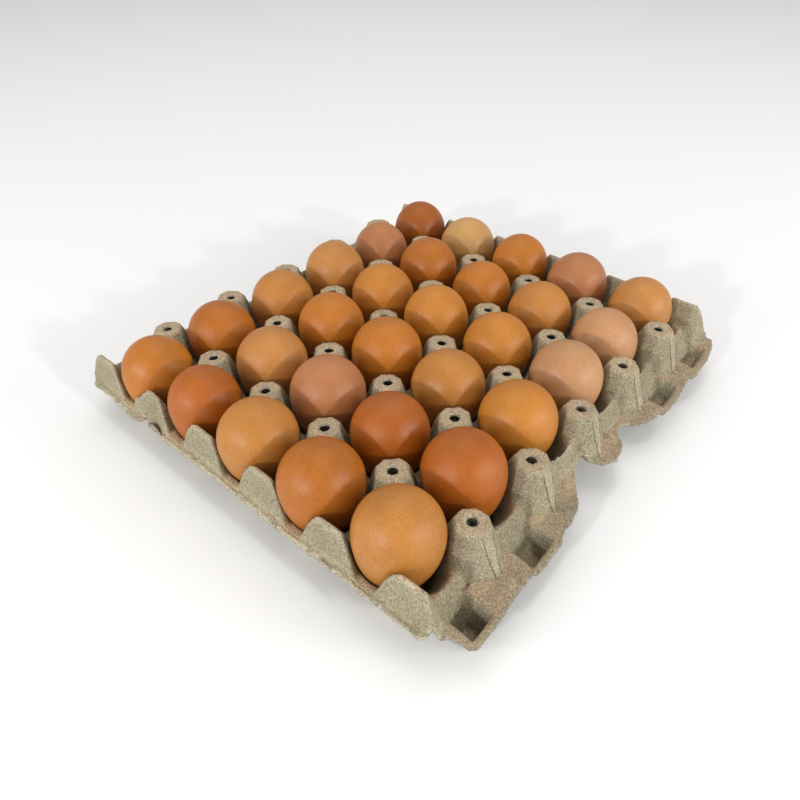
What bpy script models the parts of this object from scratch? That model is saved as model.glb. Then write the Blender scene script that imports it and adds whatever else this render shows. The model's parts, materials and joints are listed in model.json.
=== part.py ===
"""A moulded pulp tray of thirty cups, five by six, with an egg standing in every cup.

The tray is one pulp sheet. Hollow posts stand where four cups meet, straight saddles join them, and
the two sides across Y have a wide flange with pockets and finger notches. +X runs along the sixes,
+Y along the fives, and the cup floors stand on z = 0. Units are metres.
"""

from math import cos, hypot, pi, radians, sin

import bmesh
import bpy
from mathutils import Matrix, Vector
from mathutils.bvhtree import BVHTree

MM = 0.001

# Layout of the cups
COLUMNS = 6
ROWS = 5
PITCH_X = 49.4 * MM
PITCH_Y = 47.0 * MM
WALL = 1.8 * MM

# Heights of the upper face of the pulp
POST_TOP = 45.0 * MM
SADDLE_TOP = 26.0 * MM
FINGER_WALL_TOP = 33.0 * MM
FLANGE_ROOT = 20.6 * MM
FLANGE_EDGE = 18.4 * MM
STRIP_TOP = 24.5 * MM
POCKET_FLOOR = 2.6 * MM

# Posts, measured from their own axis
POST_FLAT = 8.3 * MM
POST_SLOPE = 2.75
POST_CORNER = 1.25
HOLE_RADIUS = 3.1 * MM
HOLE_SIDES = 6
CUTTER_DEPTH = 12.0 * MM

# Ears, the trimmed posts at the narrow ends
EDGE_X = 148.6 * MM
EAR_FACE_TOP = 143.5 * MM
EAR_SLOPE = (POST_TOP - STRIP_TOP) / (EDGE_X - EAR_FACE_TOP)

# Wide flanges, measured outwards from the last row of posts
FLANGE_REACH = 30.5 * MM
CREST_REACH = 4.5 * MM
FLANGE_START = 10.0 * MM
NOTCH_WALL_FOOT = 10.0 * MM
POCKET_WALL_FOOT = 17.0 * MM
TONGUE_REACH = 26.0 * MM
TONGUE_HALF = 14.0 * MM
TONGUE_ROUNDING = 3.0 * MM
NOTCH_REACH = 12.5 * MM
NOTCH_END = 36.0 * MM
CORNER_REACH = 18.0 * MM
CORNER_RUN = 12.0 * MM

# Pockets, measured along X from a cup's axis and inwards from the flange's edge
POCKET_HALF = 8.0 * MM
POCKET_SIDE_TOP = 12.5 * MM
LIP_WIDTH = 4.0 * MM
LIP_DROP = 4.5 * MM
POCKET_FLARE = 4.0 * MM

# Cup wall, as radius from the cup's axis and height of the upper face
CUP_PROFILE = [
    (10.6 * MM, WALL),
    (15.3 * MM, 13.4 * MM),
    (17.2 * MM, 16.4 * MM),
    (21.7 * MM, 26.5 * MM),
    (22.6 * MM, 33.0 * MM),
    (25.5 * MM, 46.0 * MM),
]

# Offsets of the mesh lines on each side of a post's axis
POST_LINES = [WALL, POST_FLAT, 16.5 * MM]

# Eggs: the widest ring lies at this share of the length below the blunt top
EGG_GAP = 0.6 * MM
EGG_SIDES = 10
EGG_RINGS = 7
EGG_BLUNT = 0.45
EGG_FULLNESS = 0.045

# One line per egg, from the corner at -X -Y along X, then row by row along Y: breadth and length in
# millimetres, then the shift along X and Y in millimetres and the lean about X and Y in degrees.
EGGS = [
    (43.5, 56.0, 1.5, 0.0, 2, 1), (43.0, 56.0, 0.5, -0.5, -3, 2), (42.5, 55.5, 1.0, 0.5, 2, -2),
    (42.0, 56.0, 1.0, -0.5, 1, 3), (40.5, 54.5, 0.5, 0.0, -2, 1), (40.5, 55.0, -0.5, -1.0, 3, 0),
    (43.5, 55.5, 0.5, 1.0, -2, -2), (42.5, 56.5, -1.0, -0.5, 3, 1), (42.5, 54.5, 0.0, -0.5, -1, 2),
    (42.0, 55.5, 1.0, 0.0, 2, -3), (41.5, 55.5, 1.0, 0.0, 0, 2), (41.0, 55.0, 0.0, -1.0, -3, -1),
    (42.5, 55.0, 0.5, 1.0, 3, -1), (43.0, 55.5, 0.0, -0.5, -2, 3), (43.0, 57.0, 1.0, 0.0, 1, -1),
    (42.0, 57.5, 0.5, 0.5, -2, -2), (40.5, 54.0, 0.0, -1.0, 2, 2), (40.5, 55.5, -0.5, -1.0, -1, 3),
    (40.0, 55.0, 0.0, -1.0, -3, 2), (42.5, 55.5, -0.5, -0.5, 1, -2), (42.5, 56.0, 0.0, 0.0, 2, 1),
    (42.5, 56.0, 0.5, 0.0, -1, -3), (42.0, 56.0, 0.5, 0.0, 3, 2), (41.5, 54.5, 0.5, 0.0, -2, -1),
    (41.0, 54.5, 0.5, 0.0, 2, 3), (42.0, 55.0, -1.0, 0.5, -3, -1), (42.0, 56.0, 0.0, 0.0, 1, 2),
    (42.0, 56.5, 0.0, -1.0, -2, 1), (40.5, 55.0, 0.0, -1.0, 2, -3), (40.5, 55.0, 0.0, 0.5, -1, 1),
]


def between(value, low, high):
    """0 below low, 1 above high and straight between them."""
    return min(max((value - low) / (high - low), 0.0), 1.0)


def mix(first, second, share):
    return first + (second - first) * share


def along_profile(profile, at):
    """Height of a profile of (reach, height) pairs, run on beyond its last pair."""
    if at <= profile[0][0]:
        return profile[0][1]
    for (near, low), (far, high) in zip(profile, profile[1:]):
        if at <= far:
            break
    return low + (high - low) * (at - near) / (far - near)


def clear_scene():
    for found in list(bpy.data.objects):
        bpy.data.objects.remove(found, do_unlink=True)


def make_collection(name):
    found = bpy.data.collections.new(name)
    bpy.context.scene.collection.children.link(found)
    return found


def make_material(name, colour, roughness):
    material = bpy.data.materials.new(name)
    material.use_nodes = True
    shader = material.node_tree.nodes["Principled BSDF"]
    shader.inputs["Base Color"].default_value = (*colour, 1.0)
    shader.inputs["Roughness"].default_value = roughness
    shader.inputs["Metallic"].default_value = 0.0
    return material


def add_object(name, mesh, collection, material=None):
    made = bpy.data.objects.new(name, mesh)
    collection.objects.link(made)
    if material:
        mesh.materials.append(material)
    return made


def post_columns():
    return [(i - COLUMNS / 2) * PITCH_X for i in range(COLUMNS + 1)]


def post_rows():
    return [(j - ROWS / 2) * PITCH_Y for j in range(ROWS + 1)]


def nearest(value, places):
    return min(places, key=lambda place: abs(value - place))


def flange_reach(x):
    """How far the wide flange runs out beyond the last posts: a tongue, a notch each side of it,
    then the pocket lips, and a corner cut back."""
    across = abs(x)
    if across < TONGUE_HALF:
        rounding = TONGUE_ROUNDING * between(across, 0.3 * TONGUE_HALF, 0.9 * TONGUE_HALF)
        return TONGUE_REACH - rounding
    if across < NOTCH_END:
        return NOTCH_REACH
    full = mix(TONGUE_REACH, FLANGE_REACH, between(across, PITCH_X, 1.3 * PITCH_X))
    return mix(full, CORNER_REACH, between(across, EDGE_X - CORNER_RUN, EDGE_X))


def post_height(dx, dy):
    """An eight-sided post with a flat top, spreading downwards."""
    reach = max(abs(dx), abs(dy), (abs(dx) + abs(dy)) / POST_CORNER)
    return min(POST_TOP, POST_TOP - POST_SLOPE * (reach - POST_FLAT))


def wall_height(x, out):
    """The wall outside the last saddle, from its crest down to the flange or a pocket's floor."""
    in_notch = abs(x) < PITCH_X
    crest = FINGER_WALL_TOP if in_notch else SADDLE_TOP
    foot = NOTCH_WALL_FOOT if in_notch else POCKET_WALL_FOOT
    floor = FLANGE_ROOT if in_notch else POCKET_FLOOR
    return mix(crest, floor, between(out, CREST_REACH, foot))


def flange_height(x, out):
    """The flange, with a pocket sunk into it opposite each of the outer cups."""
    reach = flange_reach(x)
    level = mix(FLANGE_ROOT, FLANGE_EDGE, between(out, POCKET_WALL_FOOT, FLANGE_REACH))
    if abs(x) < PITCH_X:
        return level
    from_centre = abs((abs(x) / PITCH_X) % 1.0 - 0.5) * PITCH_X
    sides = between(from_centre, POCKET_HALF, POCKET_SIDE_TOP)
    lip = between(out, reach - LIP_WIDTH - LIP_DROP, reach - LIP_WIDTH)
    return mix(POCKET_FLOOR, level, max(sides, lip))


def tray_height(x, y):
    """Height of the pulp's upper face."""
    posts_x, posts_y = post_columns(), post_rows()
    post = post_height(x - nearest(x, posts_x), y - nearest(y, posts_y))
    out = abs(y) - posts_y[-1]
    if out > POST_LINES[0]:
        flange = flange_height(x, out) if out > FLANGE_START else 0.0
        height = max(post, wall_height(x, out), flange)
    else:
        cup_x = nearest(x, [place + PITCH_X / 2 for place in posts_x[:-1]])
        cup_y = nearest(y, [place + PITCH_Y / 2 for place in posts_y[:-1]])
        radius = hypot((x - cup_x) * PITCH_Y / PITCH_X, y - cup_y)
        in_notch = abs(x) < PITCH_X - POST_LINES[2] and out > -POST_LINES[0] * 1.01
        saddle = FINGER_WALL_TOP if in_notch else SADDLE_TOP
        height = min(max(post, saddle), along_profile(CUP_PROFILE, radius))
    ear = POST_TOP - EAR_SLOPE * (abs(x) - EAR_FACE_TOP)
    return min(height, max(ear, min(STRIP_TOP, height)))


def lines_across_x():
    """Places of the mesh lines that run along Y."""
    places = [EAR_FACE_TOP, EDGE_X, post_columns()[-1] - POST_LINES[1], post_columns()[-1] - POST_LINES[2]]
    places += [-place for place in places]
    for post in post_columns()[1:-1]:
        places += [post + side * line for line in POST_LINES for side in (-1, 1)]
    return sorted(places)


def lines_across_y():
    """Places of the mesh lines that run along X, with the flange lines at their full reach."""
    last = post_rows()[-1]
    places = [last - line for line in POST_LINES]
    places += [last + out for out in (WALL, CREST_REACH, POST_FLAT, NOTCH_REACH, POCKET_WALL_FOOT)]
    places += [last + FLANGE_REACH - inset for inset in (LIP_WIDTH + LIP_DROP, LIP_WIDTH, 0.0)]
    places += [-place for place in places]
    for post in post_rows()[1:-1]:
        places += [post + side * line for line in POST_LINES for side in (-1, 1)]
    return sorted(places)


def place_on_sheet(x, y):
    """Moves a point of the square grid to its real place, so that the sheet's edge is its outline."""
    last = post_rows()[-1]
    out = abs(y) - last
    if out > CREST_REACH:
        share = (out - CREST_REACH) / (FLANGE_REACH - CREST_REACH)
        out = mix(CREST_REACH, flange_reach(x), share)
        y = (last + out) * (1 if y > 0 else -1)
        from_post = x - nearest(x, post_columns())
        if abs(abs(from_post) - POST_LINES[1]) < 0.1 * MM and abs(x) > PITCH_X:
            flare = POCKET_FLARE * between(share, 0.2, 0.5)
            x += flare if from_post > 0 else -flare
    return Vector((x, y, tray_height(x, y)))


def make_hole_cutter(collection):
    """One upright prism through the flat top of every full post."""
    shape = bmesh.new()
    for x in post_columns()[1:-1]:
        for y in post_rows():
            bmesh.ops.create_cone(
                shape,
                cap_ends=True,
                segments=HOLE_SIDES,
                radius1=HOLE_RADIUS,
                radius2=HOLE_RADIUS,
                depth=CUTTER_DEPTH,
                matrix=Matrix.Translation((x, y, POST_TOP)) @ Matrix.Rotation(pi / HOLE_SIDES, 4, "Z"),
            )
    mesh = bpy.data.meshes.new("post_holes")
    shape.to_mesh(mesh)
    shape.free()
    cutter = add_object("post_holes", mesh, collection)
    cutter.hide_render = True
    cutter.display_type = "WIRE"
    return cutter


def make_tray(collection, cutters, material):
    """The pulp sheet: a grid laid over the heights, given its thickness, with the post holes cut."""
    xs, ys = lines_across_x(), lines_across_y()
    shape = bmesh.new()
    bmesh.ops.create_grid(shape, x_segments=len(xs) - 1, y_segments=len(ys) - 1, size=1.0)
    for point in shape.verts:
        column = round((point.co.x + 1.0) / 2.0 * (len(xs) - 1))
        row = round((point.co.y + 1.0) / 2.0 * (len(ys) - 1))
        point.co = place_on_sheet(xs[column], ys[row])
    bmesh.ops.triangulate(shape, faces=shape.faces[:], quad_method="SHORT_EDGE")
    bmesh.ops.recalc_face_normals(shape, faces=shape.faces[:])
    if sum(face.normal.z for face in shape.faces) < 0:
        bmesh.ops.reverse_faces(shape, faces=shape.faces[:])
    sheet = BVHTree.FromBMesh(shape)
    mesh = bpy.data.meshes.new("tray")
    shape.to_mesh(mesh)
    shape.free()
    tray = add_object("tray", mesh, collection, material)
    thickness = tray.modifiers.new("pulp_thickness", "SOLIDIFY")
    thickness.thickness = WALL
    thickness.offset = -1.0
    thickness.use_even_offset = True
    thickness.thickness_clamp = 1.0
    holes = tray.modifiers.new("post_holes", "BOOLEAN")
    holes.operation = "DIFFERENCE"
    holes.object = make_hole_cutter(cutters)
    return sheet


def egg_profile(breadth, length):
    """Half outline of an egg from its blunt top to its narrow foot, as (radius, height) pairs."""
    blunt, narrow = EGG_BLUNT * length, (1.0 - EGG_BLUNT) * length
    points = []
    for ring in range(EGG_RINGS):
        turn = pi * ring / (EGG_RINGS - 1)
        rise = cos(turn)
        fullness = 1.0 + EGG_FULLNESS * sin(2.0 * turn)
        radius = breadth / 2 * sin(turn) * fullness
        points.append((radius, rise * (blunt if rise > 0 else narrow)))
    points[0] = (0.0, points[0][1])
    points[-1] = (0.0, points[-1][1])
    return points


def drop_on_tray(sheet, points, place):
    """Height at which a body of these points just clears the tray under the place."""
    lift = 0.0
    for point in points:
        above = Vector((place.x + point.x, place.y + point.y, 0.2))
        hit = sheet.ray_cast(above, Vector((0, 0, -1)))[0]
        lift = max(lift, hit.z - point.z)
    return lift + EGG_GAP


def make_egg(name, sizes, cup, sheet, collection, material):
    breadth, length, shift_x, shift_y = (size * MM for size in sizes[:4])
    profile = egg_profile(breadth, length)
    mesh = bpy.data.meshes.new(name)
    edges = [(k, k + 1) for k in range(len(profile) - 1)]
    mesh.from_pydata([(radius, 0.0, height) for radius, height in profile], edges, [])
    egg = add_object(name, mesh, collection, material)
    lean = Matrix.Rotation(radians(sizes[4]), 3, "X") @ Matrix.Rotation(radians(sizes[5]), 3, "Y")
    egg.rotation_euler = lean.to_euler()
    place = Vector((cup[0] + shift_x, cup[1] + shift_y, 0.0))
    sweep = [
        lean @ Vector((radius * cos(turn), radius * sin(turn), height))
        for radius, height in egg_profile_fine(breadth, length)
        for turn in [2 * pi * step / 24 for step in range(24)]
    ]
    place.z = drop_on_tray(sheet, sweep, place)
    egg.location = place
    turned = egg.modifiers.new("turned", "SCREW")
    turned.steps = EGG_SIDES
    turned.render_steps = EGG_SIDES
    turned.use_merge_vertices = True
    turned.merge_threshold = 0.01 * MM
    turned.use_normal_calculate = True
    return egg


def egg_profile_fine(breadth, length):
    """The smooth outline between the rings, so that the seat holds for the round egg as well."""
    coarse = egg_profile(breadth, length)
    fine = []
    for (r1, z1), (r2, z2) in zip(coarse, coarse[1:]):
        fine += [(mix(r1, r2, share / 4), mix(z1, z2, share / 4)) for share in range(4)]
    return fine + [coarse[-1]]


def main():
    clear_scene()
    parts = make_collection("egg_tray")
    cutters = make_collection("cutters")
    pulp = make_material("pulp", (0.42, 0.35, 0.26), 0.95)
    shell = make_material("eggshell", (0.56, 0.25, 0.09), 0.5)
    sheet = make_tray(parts, cutters, pulp)
    for row in range(ROWS):
        for column in range(COLUMNS):
            cup = ((column - COLUMNS / 2 + 0.5) * PITCH_X, (row - ROWS / 2 + 0.5) * PITCH_Y)
            name = f"egg_{row + 1}_{column + 1}"
            sizes = EGGS[row * COLUMNS + column]
            make_egg(name, sizes, cup, sheet, parts, shell)


if __name__ == "__main__":
    main()
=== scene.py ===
"""Thirty brown eggs standing in a moulded pulp tray: the looks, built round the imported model.

+X runs along the rows of six, +Y along the files of five, and the cup floors stand on z = 0.
Shapes are worked out in millimetres and turned to metres when a mesh is made.
"""

import json
from itertools import product
from math import cos, radians

import bpy
import numpy as np
from mathutils import Euler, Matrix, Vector
from mathutils.bvhtree import BVHTree

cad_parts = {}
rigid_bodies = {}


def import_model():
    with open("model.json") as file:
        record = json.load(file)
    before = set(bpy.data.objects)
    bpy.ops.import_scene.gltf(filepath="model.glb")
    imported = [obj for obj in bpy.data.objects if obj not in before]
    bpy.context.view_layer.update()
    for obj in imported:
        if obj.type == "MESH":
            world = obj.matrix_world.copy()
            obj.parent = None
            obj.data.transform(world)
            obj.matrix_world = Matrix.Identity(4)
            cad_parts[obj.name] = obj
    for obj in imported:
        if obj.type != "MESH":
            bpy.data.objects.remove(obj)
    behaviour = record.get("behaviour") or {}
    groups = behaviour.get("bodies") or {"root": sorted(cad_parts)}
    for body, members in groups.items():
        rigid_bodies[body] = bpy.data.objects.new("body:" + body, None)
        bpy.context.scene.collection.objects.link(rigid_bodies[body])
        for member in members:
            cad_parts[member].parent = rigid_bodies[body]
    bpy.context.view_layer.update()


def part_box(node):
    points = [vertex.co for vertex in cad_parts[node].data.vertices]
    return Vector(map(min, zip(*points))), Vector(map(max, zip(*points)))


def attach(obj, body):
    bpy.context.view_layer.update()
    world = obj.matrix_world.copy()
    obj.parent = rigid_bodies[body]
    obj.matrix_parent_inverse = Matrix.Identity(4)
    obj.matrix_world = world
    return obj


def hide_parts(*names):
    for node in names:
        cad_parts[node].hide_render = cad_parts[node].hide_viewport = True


bl_info = {
    "name": "Egg tray",
    "version": (1, 0, 0),
    "blender": (4, 5, 0),
    "location": "3D View > Sidebar > Egg tray",
    "description": "Builds a filled thirty-cup pulp egg tray",
    "category": "Add Mesh",
}

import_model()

MM = 0.001
COLUMNS = 6
ROWS = 5
PITCH_X = 49.4
PITCH_Y = 47.0
LAST_ROW = ROWS / 2 * PITCH_Y
LAST_COLUMN = COLUMNS / 2 * PITCH_X

# Heights of the pulp's upper face, in millimetres
POST_TOP = 45.0
SADDLE_TOP = 26.0
FLANGE_ROOT = 20.6
FLANGE_EDGE = 18.4
STRIP_TOP = 24.5
CUP_PROFILE = [(10.6, 1.8), (15.3, 13.4), (17.2, 16.4), (21.7, 26.5), (22.6, 33.0), (25.5, 46.0)]

# Posts, measured from their own axis
POST_FLAT = 8.3
POST_SLOPE = 2.75
POST_TOP_CORNER = 1.41
POST_FOOT_CORNER = 1.07
POST_FOOT = 17.5
EAR_TOP_CORNER = 1.56
EAR_FOOT_CORNER = 1.22

# Ears, the trimmed posts at the narrow ends
EDGE_X = 148.1
EDGE_LIMIT_X = 148.9
FARTHEST_X = 149.3
FARTHEST_Y = 147.9
# Floor under the tray: how far it reaches each way, and its level
FLOOR_REACH = 3000
FLOOR_LEVEL = -0.3
# Where the narrow end's edge is torn: place along Y, width and depth
EDGE_TEARS = [
    (65.5, 2.0, 2.6), (72.0, 1.8, 1.8), (79.5, 4.5, 3.6), (24.5, 1.0, 1.0), (101.0, 1.2, 1.4),
    (-66.0, 3.0, 0.9)
]
EAR_FACE_TOP = 142.0
EAR_SLOPE = 4.7
EAR_WIDENING = 2.2
TORN_EAR_Y = 72.0

# The wall outside each outer cup on the wide sides: (distance out from the last posts, height)
CREST_OUT = 5.0
SIDE_WALLS = [
    [(5.0, 26.2), (5.9, 25.0), (8.9, 18.0), (11.6, 10.4), (14.1, 5.6), (16.1, 2.6)],
    [(5.0, 27.0), (6.0, 26.0), (7.7, 22.6), (10.7, 15.2), (14.6, 9.5), (19.8, 6.6), (23.6, 4.3)],
    [(5.0, 34.0), (10.5, 20.6)],
    [(5.0, 31.5), (10.5, 20.6)],
    [(5.0, 27.4), (6.0, 26.4), (8.0, 22.8), (12.5, 15.8), (16.4, 11.3), (22.0, 10.3)],
    [(5.0, 29.4), (6.8, 25.8), (11.2, 18.3), (15.9, 12.1), (23.8, 11.7)],
]
POCKET_FLOORS = [2.6, 4.3, None, None, 10.3, 11.7]
# Each pocket across: floor from, floor to, then the runs of its two sloping sides
POCKET_SPANS = [
    (-4.2, 3.0, 4.4, 4.0), (-7.0, 5.0, 3.0, 4.2), (0, 0, 1, 1), (0, 0, 1, 1), (-8.0, 5.0, 4.0, 6.0),
    (-8.5, 6.5, 4.0, 6.5)
]
STRIP_FOLD = 146.5
OUTER_CUP_STRETCH = 0.80
END_CUP_SQUEEZE = 1.2
LIP_WIDTH = 4.0
LIP_DROP = 3.4

# Outline of a wide side: (place along X, reach out from the last posts)
OUTLINE = [
    (-149, 10.5), (-144.5, 13.4), (-140.5, 17.2), (-137.0, 19.4), (-136.3, 23.4), (-134.8, 29.0),
    (-133.0, 30.4), (-124, 30.4), (-117, 30.2), (-107, 28.7), (-99, 28.5), (-90, 28.3), (-86.4, 28.4),
    (-85.6, 30.4), (-82, 30.4), (-78, 30.3), (-69, 30.1), (-64, 29.5), (-58, 27.4), (-50, 26.9),
    (-40, 25.2), (-37, 23.6), (-29, 17.6), (-22, 13.0), (-13, 9.8), (-9.5, 10.2), (-6.5, 15.7),
    (-5, 20.6), (-1.5, 22.7), (3, 25.6), (13, 23.4), (17, 21.1), (20.5, 16.2), (25, 14.4),
    (32, 15.4), (36.5, 20.6), (43.5, 25.0), (48, 25.4), (56, 26.8), (57, 28.8), (74, 29.2),
    (87, 28.0), (93, 26.7), (102, 26.8), (103, 28.7), (126, 28.4), (143, 25.3), (149, 22.6),
]

# Small raised gussets at the posts' feet: start, end, width and height
GUSSETS = [
    ((-98.6, 16.4), (-97.4, 26.6), 1.6, 2.2), ((-46.0, 15.0), (-46.6, 25.0), 1.4, 1.7),
    ((-30.0, 5.5), (-30.6, 14.0), 1.3, 1.7), ((17.3, 7.0), (16.0, 16.5), 1.3, 1.5),
    ((-135.4, 9.0), (-137.4, 16.5), 1.2, 1.6), ((50.5, 15.5), (51.5, 24.0), 1.3, 1.4),
    ((99.6, 15.5), (100.4, 23.5), 1.3, 1.2),
]

# Cracks and creases pressed into the pulp: points along X and Y, width and depth
CREASES = [
    ([(-149.0, -54.0), (-147.6, -58.5), (-148.0, -64.0), (-146.6, -70.0), (-147.4, -77.0)], 0.7, 1.6),
    ([(-146.0, -60.0), (-144.6, -66.0), (-145.4, -74.0)], 0.6, 0.9),
    ([(-148.8, 58.0), (-145.8, 62.5), (-144.2, 68.0), (-145.6, 75.0), (-148.6, 80.5)], 0.8, 2.2),
    ([(-146.5, 64.0), (-142.8, 69.5), (-140.6, 76.0)], 0.7, 1.2),
    ([(-149.0, 69.0), (-144.0, 71.0), (-141.6, 66.0)], 0.6, 1.3),
    ([(-149.2, 101.0), (-144.5, 102.4), (-141.2, 101.4)], 0.6, 1.6),
    ([(-147.6, -104.0), (-147.2, -117.0), (-146.6, -127.0)], 0.6, 0.9),
    ([(-145.4, -106.0), (-145.0, -117.0), (-144.4, -128.0)], 0.6, 0.7),
    ([(-122.6, -122.4), (-123.6, -128.0), (-124.4, -133.0)], 0.5, 1.4),
    ([(-110.6, -121.0), (-112.0, -127.0)], 0.5, 0.35),
]

# One line per egg, from the corner at -X -Y along X, then row by row along Y: breadth, length and
# shift along X and Y in millimetres, then lean about X and Y in degrees.
EGGS = [
    (43.5, 56.0, 1.5, 0.0, 2, 1), (43.0, 56.0, 0.5, -0.5, -3, 2), (42.5, 55.5, 1.0, 0.5, 2, -2),
    (42.0, 56.0, 1.0, -0.5, 1, 3), (40.5, 54.5, 0.5, 0.0, -2, 1), (40.5, 55.0, -0.5, -1.0, 3, 0),
    (43.5, 55.5, 0.5, 1.0, -2, -2), (42.5, 56.5, -1.0, -0.5, 3, 1), (42.5, 54.5, 0.0, -0.5, -1, 2),
    (42.0, 55.5, 1.0, 0.0, 2, -3), (41.5, 55.5, 1.0, 0.0, 0, 2), (41.0, 55.0, 0.0, -1.0, -3, -1),
    (42.5, 55.0, 0.5, 1.0, 3, -1), (43.0, 55.5, 0.0, -0.5, -2, 3), (43.0, 57.0, 1.0, 0.0, 1, -1),
    (42.0, 57.5, 0.5, 0.5, -2, -2), (40.5, 54.0, 0.0, -1.0, 2, 2), (40.5, 55.5, -0.5, -1.0, -1, 3),
    (40.0, 55.0, 0.0, -1.0, -3, 2), (42.5, 55.5, -0.5, -0.5, 1, -2), (42.5, 56.0, 0.0, 0.0, 2, 1),
    (42.5, 56.0, 0.5, 0.0, -1, -3), (42.0, 56.0, 0.5, 0.0, 3, 2), (41.5, 54.5, 0.5, 0.0, -2, -1),
    (41.0, 54.5, 0.5, 0.0, 2, 3), (42.0, 55.0, -1.0, 0.5, -3, -1), (42.0, 56.0, 0.0, 0.0, 1, 2),
    (42.0, 56.5, 0.0, -1.0, -2, 1), (40.5, 55.0, 0.0, -1.0, 2, -3), (40.5, 55.0, 0.0, 0.5, -1, 1),
]

# Shell colours: red, green and blue as shown
SHELLS = {
    "dark": (150, 80, 20), "red_brown": (160, 85, 20), "brown": (165, 95, 25), "orange": (175, 105, 30),
    "amber": (180, 115, 40), "golden": (175, 115, 50), "tan": (178, 120, 60), "pink": (168, 110, 68),
    "pale": (180, 132, 90), "cream": (185, 140, 85),
}

# Shell colour of each egg in the same order, and how freckled the freckled ones are
EGG_SHELLS = [
    "golden", "red_brown", "amber", "pale", "pale", "tan",
    "brown", "red_brown", "golden", "amber", "golden", "pink",
    "golden", "pink", "orange", "amber", "orange", "orange",
    "red_brown", "tan", "orange", "amber", "brown", "cream",
    "orange", "brown", "golden", "tan", "pink", "dark",
]
FRECKLED = {0: 0.8, 6: 1.0, 25: 0.5}
FEW_FRECKLES = 0.2


class EggTraySizes(bpy.types.PropertyGroup):
    """Sizes that a maker of the tray would change."""

    wall: bpy.props.FloatProperty(
        name="Pulp thickness", description="Thickness of the moulded sheet",
        default=1.8 * MM, min=0.5 * MM, max=4 * MM, subtype="DISTANCE", unit="LENGTH",
    )
    relief: bpy.props.FloatProperty(
        name="Felt relief", description="Height of the lumps that the felt leaves in the pulp",
        default=0.16 * MM, min=0.0, max=1 * MM, subtype="DISTANCE", unit="LENGTH",
    )
    fraying: bpy.props.FloatProperty(
        name="Edge fraying", description="How far the cut edge of the sheet wanders",
        default=0.5 * MM, min=0.0, max=2 * MM, subtype="DISTANCE", unit="LENGTH",
    )
    fibre_length: bpy.props.FloatProperty(
        name="Fibre length", description="Length of the loose paper fibres",
        default=1.7 * MM, min=0.2 * MM, max=6 * MM, subtype="DISTANCE", unit="LENGTH",
    )
    egg_rings: bpy.props.IntProperty(
        name="Egg rings", description="Rings of faces from the top of an egg to its foot",
        default=40, min=12, max=96,
    )


class EggTrayColours(bpy.types.PropertyGroup):
    """Colours that a maker of the tray would change."""

    pulp_flat: bpy.props.FloatVectorProperty(
        name="Pulp on flats", description="Pinkish brown of the level faces",
        default=(0.42, 0.322, 0.207), size=3, subtype="COLOR", min=0.0, max=1.0,
    )
    pulp_steep: bpy.props.FloatVectorProperty(
        name="Pulp on walls", description="Greyish olive of the steep faces",
        default=(0.335, 0.295, 0.197), size=3, subtype="COLOR", min=0.0, max=1.0,
    )
    # This pale colour is worn edges and fibres, and also painted light on ridges, crease edges and pleat
    # bands
    pulp_wear_and_painted_light: bpy.props.FloatVectorProperty(
        name="Pulp on edges", description="Pale worn edges",
        default=(0.50, 0.435, 0.33), size=3, subtype="COLOR", min=0.0, max=1.0,
    )
    # Painted shade: this darker brown stands for shade in the pockets, hollows, creases and pleat lines
    pulp_painted_shade: bpy.props.FloatVectorProperty(
        name="Pulp in hollows", description="Darker brown of the pockets and creases",
        default=(0.20, 0.145, 0.085), size=3, subtype="COLOR", min=0.0, max=1.0,
    )
    floor: bpy.props.FloatVectorProperty(
        name="Floor", description="Pale floor under the tray",
        default=(0.86, 0.86, 0.86), size=3, subtype="COLOR", min=0.0, max=1.0,
    )


# ---------------------------------------------------------------- relief and heights


def relief(points, lump, seed):
    """Smooth random relief between -1 and 1 at these points, with lumps of this size."""
    lattice = np.random.default_rng(seed).uniform(-1.0, 1.0, (48, 48, 48))
    at = np.asarray(points, float) / lump
    base = np.floor(at).astype(int)
    share = at - base
    share = share * share * (3.0 - 2.0 * share)
    total = np.zeros(len(at))
    for corner in product((0, 1), repeat=3):
        weight = np.prod(np.where(corner, share, 1.0 - share), axis=1)
        place = (base + corner) % len(lattice)
        total += weight * lattice[place[:, 0], place[:, 1], place[:, 2]]
    return total


def flat_relief(x, y, lump, seed):
    """Relief over a plane, for arrays of any shape."""
    points = np.stack([x.ravel(), y.ravel(), np.full(x.size, 0.37 * lump)], axis=1)
    return relief(points, lump, seed).reshape(x.shape)


def ramp(value, low, high):
    return np.clip((value - low) / (high - low), 0.0, 1.0)


def curve_through(pairs, at):
    """Heights of a profile of (place, height) pairs at these places."""
    places, heights = zip(*pairs)
    return np.interp(at, places, heights)


def blurred(field, radius):
    """The field smoothed with a bell of this radius in cells."""
    reach = int(3 * radius) + 1
    offsets = np.arange(-reach, reach + 1)
    weights = np.exp(-0.5 * (offsets / radius) ** 2)
    weights /= weights.sum()
    for axis in (0, 1):
        padded = np.pad(field, [(reach, reach) if k == axis else (0, 0) for k in (0, 1)], mode="edge")
        field = sum(
            weight * np.take(padded, np.arange(reach + offset, reach + offset + field.shape[axis]), axis=axis)
            for weight, offset in zip(weights, offsets)
        )
    return field


def distance_to_line(x, y, points):
    """Distance to a line through these points, and how far along it the nearest place is."""
    nearest = np.full(x.shape, 1e9)
    along = np.zeros(x.shape)
    done = 0.0
    for (ax, ay), (bx, by) in zip(points, points[1:]):
        length = np.hypot(bx - ax, by - ay)
        share = np.clip(((x - ax) * (bx - ax) + (y - ay) * (by - ay)) / length**2, 0.0, 1.0)
        distance = np.hypot(x - ax - share * (bx - ax), y - ay - share * (by - ay))
        closer = distance < nearest
        nearest = np.where(closer, distance, nearest)
        along = np.where(closer, done + share * length, along)
        done += length
    return nearest, along / done


def side_reach(x, front):
    """How far a wide side runs out beyond the last posts; the back is the front turned round."""
    return curve_through(OUTLINE, x if front else -x)


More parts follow.
